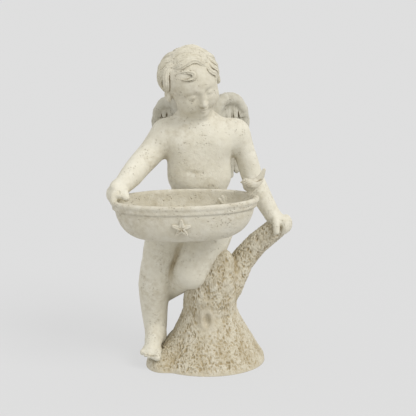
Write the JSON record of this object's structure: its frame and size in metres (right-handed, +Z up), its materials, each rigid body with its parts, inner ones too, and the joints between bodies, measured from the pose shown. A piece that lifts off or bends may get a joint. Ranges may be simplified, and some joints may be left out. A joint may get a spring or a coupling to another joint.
{
  "type": "winged cherub garden statue",
  "caption": "Cast-stone garden ornament: a winged child holds an oval basin with a bird on its rim and kneels against a tree stump on a mound.",
  "frame": {"origin": "on the flat underside, at the middle of the ground the figure stands on", "axes": "+Z up, -Y towards the front where the basin is held out, +X towards the branch under the figure's left hand"},
  "size_m": [0.4413, 0.3618, 0.7827],
  "materials": {
    "cast_stone": "matt pale cast stone, stained tan in its recesses"
  },
  "bodies": {
    "root": {"cherub_statue": "cast_stone"}
  },
  "joints": []
}
